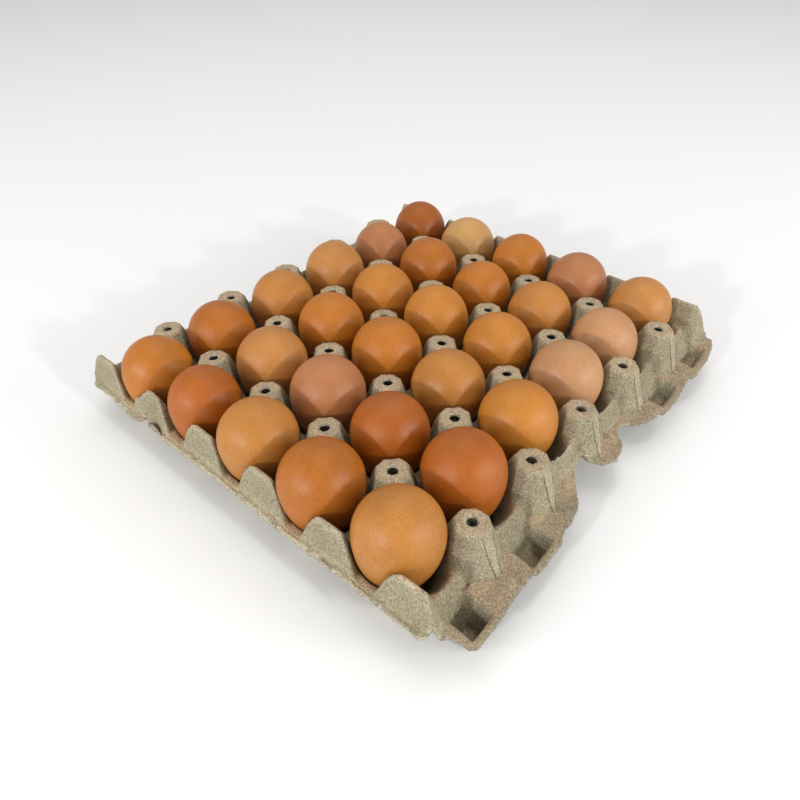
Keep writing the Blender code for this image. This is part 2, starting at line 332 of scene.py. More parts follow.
class PulpSheet:
    """Heights of both faces of the pulp over a fine raster, in millimetres."""

    CELL = 0.5
    HALF_X = 152.0
    HALF_Y = 151.0

    def __init__(self, eggs, wall):
        self.xs = np.arange(-self.HALF_X, self.HALF_X + self.CELL / 2, self.CELL)
        self.ys = np.arange(-self.HALF_Y, self.HALF_Y + self.CELL / 2, self.CELL)
        x, y = np.meshgrid(self.xs, self.ys, indexing="ij")
        top = self.moulded_heights(x, y)
        top = blurred(top, 0.62)
        top = self.worked_heights(x, y, top)
        self.top = self.clear_of_eggs(x, y, top, eggs)
        self.bottom = self.eroded(self.top, wall)
        # Depths below the smoothed sheet, in broad hollows and in fine creases, for the painted shade and
        # light in the pulp's colour
        self.hollow = blurred(self.top, 7.0) - self.top
        self.crease = blurred(self.top, 1.3) - self.top

    def moulded_heights(self, x, y):
        """Posts, saddles, cups, side walls, flanges, pockets, ears and end strips."""
        rng = np.random.default_rng(11)
        column = np.clip(np.rint(x / PITCH_X + COLUMNS / 2).astype(int), 0, COLUMNS)
        row = np.clip(np.rint(y / PITCH_Y + ROWS / 2).astype(int), 0, ROWS)
        shift = rng.uniform(-0.35, 0.35, (COLUMNS + 1, ROWS + 1, 2))
        rise = rng.uniform(-0.5, 0.4, (COLUMNS + 1, ROWS + 1))
        widen = rng.uniform(-0.3, 0.3, (COLUMNS + 1, ROWS + 1))
        dx = x - (column - COLUMNS / 2) * PITCH_X
        dy = y - (row - ROWS / 2) * PITCH_Y
        px, py = dx + shift[column, row, 0], dy + shift[column, row, 1]
        out = abs(y) - LAST_ROW
        front = y < 0
        px = px + np.where(front, 0.12, -0.12) * np.clip(out - 8.0, 0.0, 12.0)
        bent_ear = (column == 0) & (row == 4)
        py = py - 3.5 * bent_ear
        at_end = (column == 0) | (column == COLUMNS)
        across = np.maximum(abs(py) - EAR_WIDENING * at_end, 0.0)
        rough_reach = np.maximum(abs(px), across)
        foot = np.clip((rough_reach - POST_FLAT) / (POST_FOOT - POST_FLAT), 0.0, 1.0)
        top_corner = np.where(at_end, EAR_TOP_CORNER, POST_TOP_CORNER)
        corner = top_corner + (np.where(at_end, EAR_FOOT_CORNER, POST_FOOT_CORNER) - top_corner) * foot
        reach = np.maximum(rough_reach, (abs(px) + across) / corner)
        self.facet_line = abs(px) - (corner - 1.0) * np.maximum(out, 0.0)
        reach = reach + 0.35 * flat_relief(x, y, 9.0, 21)
        flat = POST_FLAT + widen[column, row]
        top = POST_TOP + rise[column, row] + 0.03 * (
            px * shift[column, row, 1] * 4 - py * shift[column, row, 0] * 4
        )
        post = np.minimum(top, top - POST_SLOPE * (reach - flat))

        cup_column = np.clip(np.floor(x / PITCH_X + COLUMNS / 2).astype(int), 0, COLUMNS - 1)
        cup_row = np.clip(np.floor(y / PITCH_Y + ROWS / 2).astype(int), 0, ROWS - 1)
        from_x = (x - (cup_column - COLUMNS / 2 + 0.5) * PITCH_X) * PITCH_Y / PITCH_X
        from_x = np.where((abs(x) > LAST_COLUMN - PITCH_X / 2), from_x * END_CUP_SQUEEZE, from_x)
        from_y = y - (cup_row - ROWS / 2 + 0.5) * PITCH_Y
        stretch = OUTER_CUP_STRETCH + (1.0 - OUTER_CUP_STRETCH) * ramp(abs(from_x), 7.0, 15.0)
        from_y = np.where((abs(y) > LAST_ROW - PITCH_Y / 2), from_y * stretch, from_y)
        radius = np.hypot(from_x, from_y) + 0.3 * flat_relief(x, y, 12.0, 22)
        side = np.where(front, cup_column, COLUMNS - 1 - cup_column)
        crests = np.array([wall[0][1] for wall in SIDE_WALLS])[side]
        sag = 1.0 + 0.9 * flat_relief(x, y, 24.0, 23)
        saddle = np.where(out > -1.9, crests, SADDLE_TOP - sag)
        inner = np.minimum(np.maximum(post, saddle), curve_through(CUP_PROFILE, radius))
        inner = np.maximum(inner, post - 45.0 * ramp(-out, 0.5, 7.5))

        walls = np.stack([curve_through(pairs, out) for pairs in SIDE_WALLS])
        wall = np.take_along_axis(walls, side[None], axis=0)[0]
        outer = np.maximum(np.maximum(post, wall), self.flange_heights(x, out, side, front))
        height = np.where(out > CREST_OUT, outer, inner)

        bent = (x < 0) * np.exp(-(((y - TORN_EAR_Y) / 12.0) ** 2))
        ear = POST_TOP - EAR_SLOPE * (abs(x) - EAR_FACE_TOP + 2.4 * bent) + 1.2 * flat_relief(x, y, 17.0, 24)
        strip = STRIP_TOP + 1.0 * flat_relief(x, y, 30.0, 25) - 0.35 * ramp(abs(x), 146.5, 149.0)
        return np.minimum(height, np.maximum(ear, np.minimum(strip, height)))

    def flange_heights(self, x, out, side, front_side):
        """The level flange with its pockets; a pocket's floor differs from cup to cup."""
        level = FLANGE_ROOT + (FLANGE_EDGE - FLANGE_ROOT) * ramp(out, 17.0, 30.5)
        level = level + 0.7 * flat_relief(x, out, 15.0, 26)
        reach = np.where(out > 0, side_reach(x, True), 30.0)
        column_centre = (np.floor(x / PITCH_X) + 0.5) * PITCH_X
        across = np.where(front_side, 1.0, -1.0) * (x - column_centre) + 0.5 * flat_relief(x, out, 8.0, 27)
        start, end, run_in, run_out = np.array(POCKET_SPANS)[side].transpose(2, 0, 1)
        sides = np.maximum(ramp(start - across, 0.0, run_in), ramp(across - end, 0.0, run_out))
        lip = ramp(out, reach - LIP_WIDTH - LIP_DROP, reach - LIP_WIDTH)
        floors = np.array([floor or 0.0 for floor in POCKET_FLOORS])[side]
        has_pocket = np.array([floor is not None for floor in POCKET_FLOORS])[side]
        sunk = floors + (level - floors) * np.maximum(sides, lip)
        height = np.where(has_pocket, sunk, level)
        return np.where(out > 9.0, height, 0.0)

    def worked_heights(self, x, y, top):
        """Gussets, cracks and creases, added after the mould's own rounding."""
        for turn in (1, -1):
            sx, sy = turn * x, turn * y
            out = -sy - LAST_ROW
            for start, end, width, height in GUSSETS:
                distance, along = distance_to_line(sx, out, [start, end])
                rise = (
                    1.6 * height * np.exp(-((distance / (0.8 * width)) ** 2)) * ramp(1.1 - along, 0.0, 0.35)
                )
                top = top + rise
            dimple = np.hypot(sx + 18.6, out - 7.6)
            top = top - 2.2 * np.exp(-((dimple / 1.5) ** 2))
        for points, width, depth in CREASES:
            distance, along = distance_to_line(x, y, points)
            fade = np.sqrt(np.clip(4 * along * (1 - along), 0.0, 1.0))
            wobble = distance + 0.3 * flat_relief(x, y, 2.2, 31)
            top = top - depth * fade * np.exp(-((wobble / width) ** 2))
        torn = np.exp(-(np.hypot(x + 144.5, (y - TORN_EAR_Y) / 2.2) / 6.0) ** 2)
        top = top + torn * (3.6 * flat_relief(x, y, 4.0, 32) + 2.0 * flat_relief(x, y, 2.0, 33))
        sunk = (x < 0) * ramp(abs(x), 141.0, 148.0) * np.exp(-(((y - 88.0) / 13.0) ** 2))
        top = top - 3.2 * sunk
        return top

    def clear_of_eggs(self, x, y, top, eggs):
        """Presses the pulp down to a little below the eggs that stand on it."""
        tree = BVHTree.FromPolygons(*eggs)
        near = np.argwhere((abs(x) < LAST_COLUMN + 2) & (abs(y) < LAST_ROW + 2) & (top > 3.0))
        up = Vector((0.0, 0.0, 1.0))
        pressed = top.copy()
        for i, j in near:
            hit = tree.ray_cast(Vector((self.xs[i], self.ys[j], -5.0)), up)[0]
            if hit is not None and hit.z - 0.45 < pressed[i, j]:
                pressed[i, j] = hit.z - 0.45
        return pressed

    def eroded(self, top, wall):
        """The lower face: everywhere one wall thickness from the upper one."""
        cells = int(wall / self.CELL)
        size_x, size_y = top.shape
        padded = np.pad(top, cells, mode="edge")
        lowest = np.full(top.shape, 1e9)
        for i, j in product(range(-cells, cells + 1), repeat=2):
            drop = wall**2 - (i * i + j * j) * self.CELL**2
            if drop >= 0:
                moved = padded[cells + i : cells + i + size_x, cells + j : cells + j + size_y]
                lowest = np.minimum(lowest, moved - np.sqrt(drop))
        return np.maximum(blurred(lowest, 0.8), 0.0)

    def sampled(self, field, x, y):
        """Values of a raster field between its cells."""
        across = np.clip((x + self.HALF_X) / self.CELL, 0, field.shape[0] - 1.001)
        along = np.clip((y + self.HALF_Y) / self.CELL, 0, field.shape[1] - 1.001)
        i, j = across.astype(int), along.astype(int)
        u, v = across - i, along - j
        near = field[i, j] * (1 - v) + field[i, j + 1] * v
        far = field[i + 1, j] * (1 - v) + field[i + 1, j + 1] * v
        return near * (1 - u) + far * u


# ---------------------------------------------------------------- the tray's mesh


HALF_PITCH_LINES = [
    0, 1.05, 2.1, 3.1, 3.95, 4.8, 5.65, 6.5, 7.35, 8.2, 9.1, 10.0, 10.95, 11.95, 13.0, 14.1, 15.3,
    16.6, 18.0, 19.5, 21.1, 22.9, 24.7,
]
HOLE_RING = 3
HOLE_BLEND = 8
FLANGE_LINES = 30
TRAY_TRIANGLES = 188000


def half_pitch_lines(pitch):
    """Distances of the mesh lines from a post's axis to the middle of the cup."""
    lines = np.array(HALF_PITCH_LINES)
    stretch = (pitch / 2 - lines[HOLE_RING]) / (lines[-1] - lines[HOLE_RING])
    beyond = lines > lines[HOLE_RING]
    lines[beyond] = lines[HOLE_RING] + (lines[beyond] - lines[HOLE_RING]) * stretch
    return lines


def mesh_lines(count, pitch, beyond):
    """Mesh lines over a number of pitches, run on beyond the last posts by these distances."""
    lines = half_pitch_lines(pitch)
    places = []
    for post in range(count + 1):
        axis = (post - count / 2) * pitch
        places.append(axis)
        if post < count:
            places += list(axis + lines[1:])
            places += list(axis + pitch - lines[1:-1][::-1])
    last = places[-1]
    return np.array([-last - step for step in beyond[::-1]] + places + [last + step for step in beyond])


def laid_out_grid(fraying):
    """Places of the mesh points seen from above, and which of them lie inside a post hole."""
    outer = list(half_pitch_lines(PITCH_Y)[1:HOLE_BLEND])
    outer += list(np.linspace(outer[-1], 30.5, FLANGE_LINES - len(outer) + 1)[1:])
    xs = mesh_lines(COLUMNS, PITCH_X, [])
    ys = mesh_lines(ROWS, PITCH_Y, outer)
    x, y = np.meshgrid(xs, ys, indexing="ij")
    inside = np.zeros(x.shape, bool)
    step_x, step_y = len(HALF_PITCH_LINES) * 2 - 2, len(HALF_PITCH_LINES) * 2 - 2
    radii = half_pitch_lines(PITCH_X)
    for column, row in product(range(1, COLUMNS), range(ROWS + 1)):
        ci, cj = column * step_x, len(outer) + row * step_y
        for i, j in product(range(-HOLE_BLEND, HOLE_BLEND + 1), repeat=2):
            ring = max(abs(i), abs(j))
            if ring == 0 or not 0 <= cj + j < y.shape[1]:
                continue
            dx, dy = xs[ci + i] - xs[ci], ys[cj + j] - ys[cj]
            scale = radii[ring] / np.hypot(dx, dy)
            share = float(ramp(ring, HOLE_BLEND, HOLE_RING))
            x[ci + i, cj + j] = xs[ci] + dx * (1 + (scale - 1) * share)
            y[ci + i, cj + j] = ys[cj] + dy * (1 + (scale - 1) * share)
        block = slice(ci - HOLE_RING + 1, ci + HOLE_RING), slice(cj - HOLE_RING + 1, cj + HOLE_RING)
        inside[block] = True
    out = abs(y) - LAST_ROW
    reach = np.where(y < 0, side_reach(x, True), side_reach(x, False))
    broken_off = 9.0 * ramp(-x, 138.0, 146.0) * (y > 0)
    reach = reach - broken_off
    wander = fraying * (flat_relief(x, y, 2.3, 41) * 0.8 + flat_relief(x, y, 7.0, 42))
    start = 5.0
    share = ramp(out, start, 30.5)
    moved = start + share * (np.minimum(reach, 30.4) + wander - 0.5 - start)
    y = np.where(out > start, np.sign(y) * (LAST_ROW + np.minimum(moved, 29.5)), y)
    dents = fraying * (flat_relief(x, y, 2.1, 43) * 0.7 + flat_relief(x, y, 9.0, 44))
    torn_out = sum(depth * np.exp(-(((y - place) / width) ** 2)) for place, width, depth in EDGE_TEARS)
    pull = LAST_COLUMN - EDGE_X - dents + torn_out * (x < 0)
    x = x - np.sign(x) * pull * ramp(abs(x), LAST_COLUMN - 5.0, LAST_COLUMN)
    x = np.clip(x, -EDGE_LIMIT_X, EDGE_LIMIT_X)
    return x, y, inside


def ordered_rim(faces, points):
    """Edges that only one face uses, turned the way that face runs."""
    edges = np.concatenate([np.stack([faces[:, k], faces[:, (k + 1) % 4]], axis=1) for k in range(4)])
    codes = np.minimum(edges[:, 0], edges[:, 1]) * points + np.maximum(edges[:, 0], edges[:, 1])
    _, first, count = np.unique(codes, return_index=True, return_counts=True)
    return edges[first[count == 1]]


def tray_mesh(sheet, sizes):
    """Both faces of the sheet and the rounded rims that join them, as points, faces and masks."""
    x, y, inside = laid_out_grid(sizes.fraying / MM)
    high = sheet.sampled(sheet.top, x, y)
    low = np.minimum(sheet.sampled(sheet.bottom, x, y), high - 0.9)
    low = np.maximum(low, 0.0)
    wide, deep = x.shape
    number = np.arange(wide * deep).reshape(wide, deep)
    dropped = inside[:-1, :-1] | inside[1:, :-1] | inside[1:, 1:] | inside[:-1, 1:]
    corners = [number[:-1, :-1], number[1:, :-1], number[1:, 1:], number[:-1, 1:]]
    upper = np.stack([corner[~dropped] for corner in corners], axis=1)
    rim = ordered_rim(upper, wide * deep)
    used = np.unique(upper)
    renumber = np.full(wide * deep, -1)
    renumber[used] = np.arange(len(used))
    upper, rim = renumber[upper], renumber[rim]
    count = len(used)
    top_points = np.stack([x.ravel()[used], y.ravel()[used], high.ravel()[used]], axis=1)
    low_points = np.stack([x.ravel()[used], y.ravel()[used], low.ravel()[used]], axis=1)
    return top_points, low_points, upper, rim, count


def rim_points(top_points, low_points, rim, fraying):
    """A middle ring for the rims, pushed a little outwards so that the edges are round."""
    push = np.zeros((len(top_points), 3))
    along = top_points[rim[:, 1]] - top_points[rim[:, 0]]
    outwards = np.stack([along[:, 1], -along[:, 0], np.zeros(len(along))], axis=1)
    outwards /= np.maximum(np.linalg.norm(outwards, axis=1, keepdims=True), 1e-9)
    for k in (0, 1):
        np.add.at(push, rim[:, k], outwards)
    ring = np.unique(rim)
    push = push[ring] / np.maximum(np.linalg.norm(push[ring], axis=1, keepdims=True), 1e-9)
    middle = 0.5 * (top_points[ring] + low_points[ring])
    swell = 0.32 + fraying * 0.35 * relief(middle, 1.6, 51)
    middle = middle + push * swell[:, None]
    return ring, middle


def set_attribute(mesh, name, values):
    made = mesh.attributes.new(name, "FLOAT", "POINT")
    made.data.foreach_set("value", np.asarray(values, np.float32))


def mesh_from(name, points, faces):
    """A mesh of these points, in millimetres, and faces of three or four corners."""
    mesh = bpy.data.meshes.new(name)
    mesh.from_pydata((np.asarray(points) * MM).tolist(), [], [list(map(int, face)) for face in faces])
    mesh.update()
    return mesh


def normals_of(mesh):
    normals = np.empty(len(mesh.vertices) * 3, np.float32)
    mesh.vertex_normals.foreach_get("vector", normals)
    return normals.reshape(-1, 3).astype(float)


def build_tray_object(sheet, sizes, material):
    top_points, low_points, upper, rim, count = tray_mesh(sheet, sizes)
    ring, middle = rim_points(top_points, low_points, rim, sizes.fraying / MM)
    place = np.full(count, -1)
    place[ring] = 2 * count + np.arange(len(ring))
    lower = upper[:, ::-1] + count
    a, b = rim[:, 0], rim[:, 1]
    skirt = np.concatenate([
        np.stack([b, a, place[a], place[b]], axis=1),
        np.stack([place[b], place[a], a + count, b + count], axis=1),
    ])
    points = np.concatenate([top_points, low_points, middle])
    faces = np.concatenate([upper, lower, skirt])
    mesh = mesh_from("pulp_tray", points, faces)
    normals = normals_of(mesh)
    height = sizes.relief / MM
    lumps = height * (
        0.9 * relief(points, 7.0, 61) + 0.7 * relief(points, 3.1, 62) + 0.45 * relief(points, 1.7, 63)
    )
    lumps[2 * count :] *= 0.5
    moved = points + normals * lumps[:, None]
    moved[:, 2] = np.maximum(moved[:, 2], 0.0)
    mesh.vertices.foreach_set("co", (moved * MM).astype(np.float32).ravel())
    mesh.update()
    rims = np.concatenate([np.zeros(2 * count), np.ones(len(ring))])
    rims[ring] = rims[ring + count] = 1.0
    near = {int(k) for k in ring}
    touching = upper[np.isin(upper, ring).any(axis=1)].ravel()
    beside = np.setdiff1d(touching, list(near))
    rims[beside] = rims[beside + count] = 0.4
    hollow = sheet.sampled(sheet.hollow, moved[:, 0], moved[:, 1])
    hollow[count : 2 * count] = -hollow[count : 2 * count]
    crease = sheet.sampled(sheet.crease, moved[:, 0], moved[:, 1])
    crease[count:] = 0.0
    set_attribute(mesh, "crease", crease)
    out = abs(moved[:, 1]) - LAST_ROW
    # Where the pleats' painted shade line and painted light band go
    folded = ramp(out, 8.4, 9.2) * ramp(out, 19.0, 17.0) * (np.arange(len(moved)) < count)
    folded *= abs(moved[:, 0]) < LAST_COLUMN - 20.0
    facet_line = sheet.sampled(sheet.facet_line, moved[:, 0], moved[:, 1])
    on_strip = (abs(moved[:, 0]) > 143.0) & (moved[:, 2] < 27.5) & (moved[:, 2] > 22.0) & (out < 4.0)
    facet_line[on_strip] = STRIP_FOLD - abs(moved[on_strip, 0])
    folded[on_strip] = 0.5
    set_attribute(mesh, "facet_line", facet_line)
    steepness = 1.0 - normals_of(mesh)[:, 2]
    # Painted light and shade, as a brightness factor for each point
    set_attribute(mesh, "painted_light_and_shade", painted_light_and_shade_of(moved, out, on_strip, steepness))
    set_attribute(mesh, "folded", folded)
    set_attribute(mesh, "rim", rims)
    set_attribute(mesh, "hollow", hollow)
    set_attribute(mesh, "level", blurred_over(mesh, normals_of(mesh)[:, 2]))
    mesh.materials.append(material)
    thinned = thinned_mesh("pulp_tray", mesh, np.arange(len(points)) < count)
    thinned.polygons.foreach_set("use_smooth", np.ones(len(thinned.polygons), bool))
    tray = bpy.data.objects.new("pulp_tray", thinned)
    bpy.context.scene.collection.objects.link(tray)
    return tray


def painted_light_and_shade_of(points, out, on_strip, steepness):
    """Painted light and shade as a brightness factor: walls, strips, tops and pocket floors lit, flanges and
    pocket walls shaded.
    """
    height = points[:, 2]
    on_wall = ramp(out, 8.0, 10.0) * ramp(out, 17.0, 15.0) * ramp(height, 31.0, 27.0)
    painted_light_and_shade = 1.0 + 0.14 * on_wall + 0.24 * on_strip
    painted_light_and_shade -= 0.17 * ramp(out, 16.0, 20.0)
    painted_light_and_shade += np.where(out > 3.0, 0.06, 0.16) * ramp(height, 43.0, 44.0)
    in_pocket = ramp(out, 14.0, 16.0) * ramp(height, 17.0, 14.0)
    painted_light_and_shade += in_pocket * np.where(steepness > 0.2, -0.22, 0.16)
    return painted_light_and_shade


def thinned_mesh(name, mesh, upper):
    """The mesh brought down to the tray's triangle count, sparing its upper face."""
    maker = bpy.data.objects.new(name + "_maker", mesh)
    bpy.context.scene.collection.objects.link(maker)
    spared = maker.vertex_groups.new(name="lower_face")
    spared.add(np.flatnonzero(~upper).tolist(), 1.0, "REPLACE")
    spared.add(np.flatnonzero(upper).tolist(), 0.3, "REPLACE")
    thin = maker.modifiers.new("thin", "DECIMATE")
    thin.ratio = TRAY_TRIANGLES / (2 * len(mesh.polygons))
    thin.vertex_group = spared.name
    thin.vertex_group_factor = 1.0
    bpy.context.view_layer.update()
    graph = bpy.context.evaluated_depsgraph_get()
    made = bpy.data.meshes.new_from_object(maker.evaluated_get(graph))
    bpy.data.objects.remove(maker, do_unlink=True)
    made.name = name
    return made


def blurred_over(mesh, values):
    """Values averaged twice with those of the neighbouring points."""
    edges = np.empty(len(mesh.edges) * 2, np.int32)
    mesh.edges.foreach_get("vertices", edges)
    edges = edges.reshape(-1, 2)
    for _ in range(2):
        total, weight = values.copy(), np.ones(len(values))
        for k in (0, 1):
            np.add.at(total, edges[:, k], values[edges[:, 1 - k]])
            np.add.at(weight, edges[:, k], 1.0)
        values = total / weight
    return values


# ---------------------------------------------------------------- node helpers


class Nodes:
    """Short ways to add and join nodes in a tree."""

    def __init__(self, tree):
        self.tree = tree

    def add(self, kind, inputs=(), **settings):
        node = self.tree.nodes.new(kind)
        for name, value in settings.items():
            setattr(node, name, value)
        for socket, value in dict(inputs).items():
            self.feed(node.inputs[socket], value)
        return node

    def feed(self, socket, value):
        if isinstance(value, bpy.types.NodeSocket):
            self.tree.links.new(value, socket)
        else:
            socket.default_value = value

    def math(self, operation, *values, clamp=False):
        node = self.add("ShaderNodeMath", operation=operation, use_clamp=clamp)
        for socket, value in zip(node.inputs, values):
            self.feed(socket, value)
        return node.outputs[0]

    def mix(self, share, first, second, blend="MIX"):
        node = self.add("ShaderNodeMix", data_type="RGBA", blend_type=blend)
        self.feed(node.inputs["Factor"], share)
        self.feed(node.inputs["A"], first)
        self.feed(node.inputs["B"], second)
        return node.outputs["Result"]

    def spread(self, value, low, high, to_low=0.0, to_high=1.0):
        node = self.add("ShaderNodeMapRange", interpolation_type="SMOOTHSTEP")
        for socket, given in zip(node.inputs, (value, low, high, to_low, to_high)):
            self.feed(socket, given)
        return node.outputs["Result"]

    def noise(self, vector, scale, detail=2.0, roughness=0.5):
        node = self.add(
            "ShaderNodeTexNoise",
            {"Vector": vector, "Scale": scale, "Detail": detail, "Roughness": roughness}
        )
        return node.outputs["Fac"]


def new_group(kind, name, inputs, outputs):
    """A node group with named sockets, given as (name, socket kind, default)."""
    tree = bpy.data.node_groups.new(name, kind)
    for label, socket, default in inputs:
        made = tree.interface.new_socket(label, in_out="INPUT", socket_type=socket)
        if default is not None:
            made.default_value = default
    for label, socket in outputs:
        tree.interface.new_socket(label, in_out="OUTPUT", socket_type=socket)
    nodes = Nodes(tree)
    return tree, nodes, nodes.add("NodeGroupInput"), nodes.add("NodeGroupOutput")


def new_material(name):
    material = bpy.data.materials.new(name)
    material.use_nodes = True
    nodes = Nodes(material.node_tree)
    return material, nodes, material.node_tree.nodes["Principled BSDF"]


def colour(values):
    return (*values, 1.0)


# ---------------------------------------------------------------- materials


def speckle_group():
    """Round dots of random size, scattered and thinned out in patches."""
    tree, nodes, given, put = new_group(
        "ShaderNodeTree", "speckles",
        [("Vector", "NodeSocketVector", None), ("Scale", "NodeSocketFloat", 900.0),
         ("Size", "NodeSocketFloat", 0.25), ("Amount", "NodeSocketFloat", 0.5)],
        [("Mask", "NodeSocketFloat")],
    )
    cells = nodes.add(
        "ShaderNodeTexVoronoi", {"Vector": given.outputs["Vector"], "Scale": given.outputs["Scale"]}
    )
    pick = nodes.add("ShaderNodeSeparateColor", {"Color": cells.outputs["Color"]})
    wanted = nodes.math("LESS_THAN", pick.outputs["Red"], given.outputs["Amount"])
    size = nodes.math(
        "MULTIPLY", given.outputs["Size"], nodes.spread(pick.outputs["Green"], 0.0, 1.0, 0.35, 1.0)
    )
    inner = nodes.math("MULTIPLY", size, 0.5)
    dot = nodes.spread(cells.outputs["Distance"], size, inner)
    nodes.feed(put.inputs["Mask"], nodes.math("MULTIPLY", dot, wanted))
    return tree


def felt_group():
    """Coarse pulp felt: cloudy mottle, matted fibres and a height for the bump."""
    tree, nodes, given, put = new_group(
        "ShaderNodeTree", "pulp_felt",
        [("Vector", "NodeSocketVector", None), ("Scale", "NodeSocketFloat", 1.0)],
        [("Mottle", "NodeSocketFloat"), ("Fibres", "NodeSocketFloat"), ("Height", "NodeSocketFloat")],
    )
    scaled = nodes.add(
        "ShaderNodeVectorMath", {0: given.outputs["Vector"], "Scale": given.outputs["Scale"]},
        operation="SCALE"
    ).outputs[0]
    cloud = nodes.noise(scaled, 950.0, 4.0, 0.7)
    coarse = nodes.noise(scaled, 2300.0, 3.0, 0.7)
    swirl = nodes.add(
        "ShaderNodeTexNoise", {"Vector": scaled, "Scale": 120.0, "Detail": 2.0}
    ).outputs["Color"]
    bent = nodes.add("ShaderNodeVectorMath", {0: swirl, "Scale": 0.012}, operation="SCALE").outputs[0]
    moved = nodes.add("ShaderNodeVectorMath", {0: scaled, 1: bent}, operation="ADD").outputs[0]
    threads = nodes.add(
        "ShaderNodeTexVoronoi", {"Vector": moved, "Scale": 520.0}, feature="DISTANCE_TO_EDGE"
    ).outputs["Distance"]
    thread = nodes.spread(threads, 0.10, 0.0)
    mottle = nodes.math("ADD", nodes.math("MULTIPLY", cloud, 0.5), nodes.math("MULTIPLY", coarse, 0.5))
    nodes.feed(put.inputs["Mottle"], nodes.spread(mottle, 0.34, 0.66))
    nodes.feed(put.inputs["Fibres"], nodes.math("MULTIPLY", thread, nodes.spread(cloud, 0.4, 0.65)))
    nodes.feed(put.inputs["Height"], nodes.math("ADD", mottle, nodes.math("MULTIPLY", thread, 0.22)))
    return tree


def pulp_material(colours, felt, speckles):
    """Raw moulded pulp: felted, speckled, pinkish on flats, olive grey on walls, paler on edges, with painted
    shade and light.
    """
    material, nodes, shader = new_material("pulp")
    place = nodes.add("ShaderNodeTexCoord").outputs["Object"]
    matted = nodes.add("ShaderNodeGroup", {}, node_tree=felt)
    nodes.feed(matted.inputs["Vector"], place)
    level = nodes.add("ShaderNodeAttribute", attribute_name="level").outputs["Fac"]
    hollow = nodes.add("ShaderNodeAttribute", attribute_name="hollow").outputs["Fac"]
    rim = nodes.add("ShaderNodeAttribute", attribute_name="rim").outputs["Fac"]
    patches = nodes.noise(place, 34.0, 3.0)
    levelled = nodes.math("ADD", level, nodes.spread(patches, 0.3, 0.7, -0.14, 0.14))
    base = nodes.mix(
        nodes.spread(levelled, 0.55, 0.92), colour(colours.pulp_steep), colour(colours.pulp_flat)
    )
    # Painted shade: the pulp darkened in the deeper hollows and pockets
    sunk = nodes.math("MULTIPLY", nodes.spread(hollow, 3.5, 9.0), 0.30)
    base = nodes.mix(sunk, base, colour(colours.pulp_painted_shade))
    crease = nodes.add("ShaderNodeAttribute", attribute_name="crease").outputs["Fac"]
    # Painted shade in the creases and grooves, and painted light on the ridges beside them
    base = nodes.mix(
        nodes.math("MULTIPLY", nodes.spread(crease, 0.12, 0.9), 0.55), base, colour(colours.pulp_painted_shade)
    )
    base = nodes.mix(
        nodes.math("MULTIPLY", nodes.spread(crease, -0.15, -0.8), 0.42), base, colour(colours.pulp_wear_and_painted_light)
    )
    # Painted light: paler where the sheet stands proud, as on post tops and crests
    proud = nodes.math("MULTIPLY", nodes.spread(hollow, -7.0, -13.0), 0.32)
    base = nodes.mix(proud, base, colour(colours.pulp_wear_and_painted_light))
    facet_line = nodes.add("ShaderNodeAttribute", attribute_name="facet_line").outputs["Fac"]
    folded = nodes.add("ShaderNodeAttribute", attribute_name="folded").outputs["Fac"]
    unsteady = nodes.math("ADD", facet_line, nodes.spread(nodes.noise(place, 260.0), 0.3, 0.7, -0.25, 0.25))
    # Pleats: painted shade along the pleat line, painted light on the band beside it; the bump also presses
    # the line in
    pleat_groove_and_shade = nodes.math("MULTIPLY", nodes.spread(nodes.math("ABSOLUTE", unsteady), 0.55, 0.18), folded)
    pleat_band_light = nodes.math("MULTIPLY", nodes.spread(unsteady, 0.0, -0.3), folded)
    base = nodes.mix(nodes.math("MULTIPLY", pleat_band_light, 0.35), base, colour(colours.pulp_wear_and_painted_light))
    base = nodes.mix(nodes.math("MULTIPLY", pleat_groove_and_shade, 0.85), base, colour(colours.pulp_painted_shade))
    worn = nodes.math(
        "MULTIPLY", nodes.spread(rim, 0.1, 1.0),
        nodes.spread(nodes.noise(place, 380.0), 0.35, 0.6, 0.15, 0.6)
    )
    base = nodes.mix(worn, base, colour(colours.pulp_wear_and_painted_light))
    shade = nodes.spread(matted.outputs["Mottle"], 0.0, 1.0, 0.54, 1.38)
    shade = nodes.math("MULTIPLY", shade, nodes.spread(patches, 0.25, 0.75, 0.93, 1.06))
    # Painted light and shade from the mesh scales the pulp's brightness
    painted_light_and_shade = nodes.add("ShaderNodeAttribute", attribute_name="painted_light_and_shade").outputs["Fac"]
    shade = nodes.math("MULTIPLY", shade, painted_light_and_shade)
    base = nodes.mix(
        1.0, base,
        nodes.add("ShaderNodeCombineColor", {"Red": shade, "Green": shade, "Blue": shade}).outputs[0],
        "MULTIPLY"
    )
    base = nodes.mix(nodes.math("MULTIPLY", matted.outputs["Fibres"], 0.16), base, colour(colours.pulp_wear_and_painted_light))
    for scale, size, amount, tone, strength in (
        (950.0, 0.38, 0.22, (0.10, 0.08, 0.05), 0.8),
        (1250.0, 0.38, 0.20, (0.76, 0.68, 0.54), 0.6),
        (330.0, 0.15, 0.22, (0.08, 0.06, 0.04), 0.9),
    ):
        dots = nodes.add("ShaderNodeGroup", {}, node_tree=speckles)
        for socket, value in (("Vector", place), ("Scale", scale), ("Size", size), ("Amount", amount)):
            nodes.feed(dots.inputs[socket], value)
        base = nodes.mix(nodes.math("MULTIPLY", dots.outputs["Mask"], strength), base, colour(tone))
    nodes.feed(shader.inputs["Base Color"], base)
    nodes.feed(shader.inputs["Roughness"], nodes.spread(matted.outputs["Mottle"], 0.0, 1.0, 0.96, 0.86))
    shader.inputs["Specular IOR Level"].default_value = 0.18
    bump = nodes.add(
        "ShaderNodeBump",
        {
            "Strength": 0.8, "Distance": 0.0007,
            "Height": nodes.math("SUBTRACT", matted.outputs["Height"], pleat_groove_and_shade),
        }
    )
    nodes.feed(shader.inputs["Normal"], bump.outputs["Normal"])
    return material


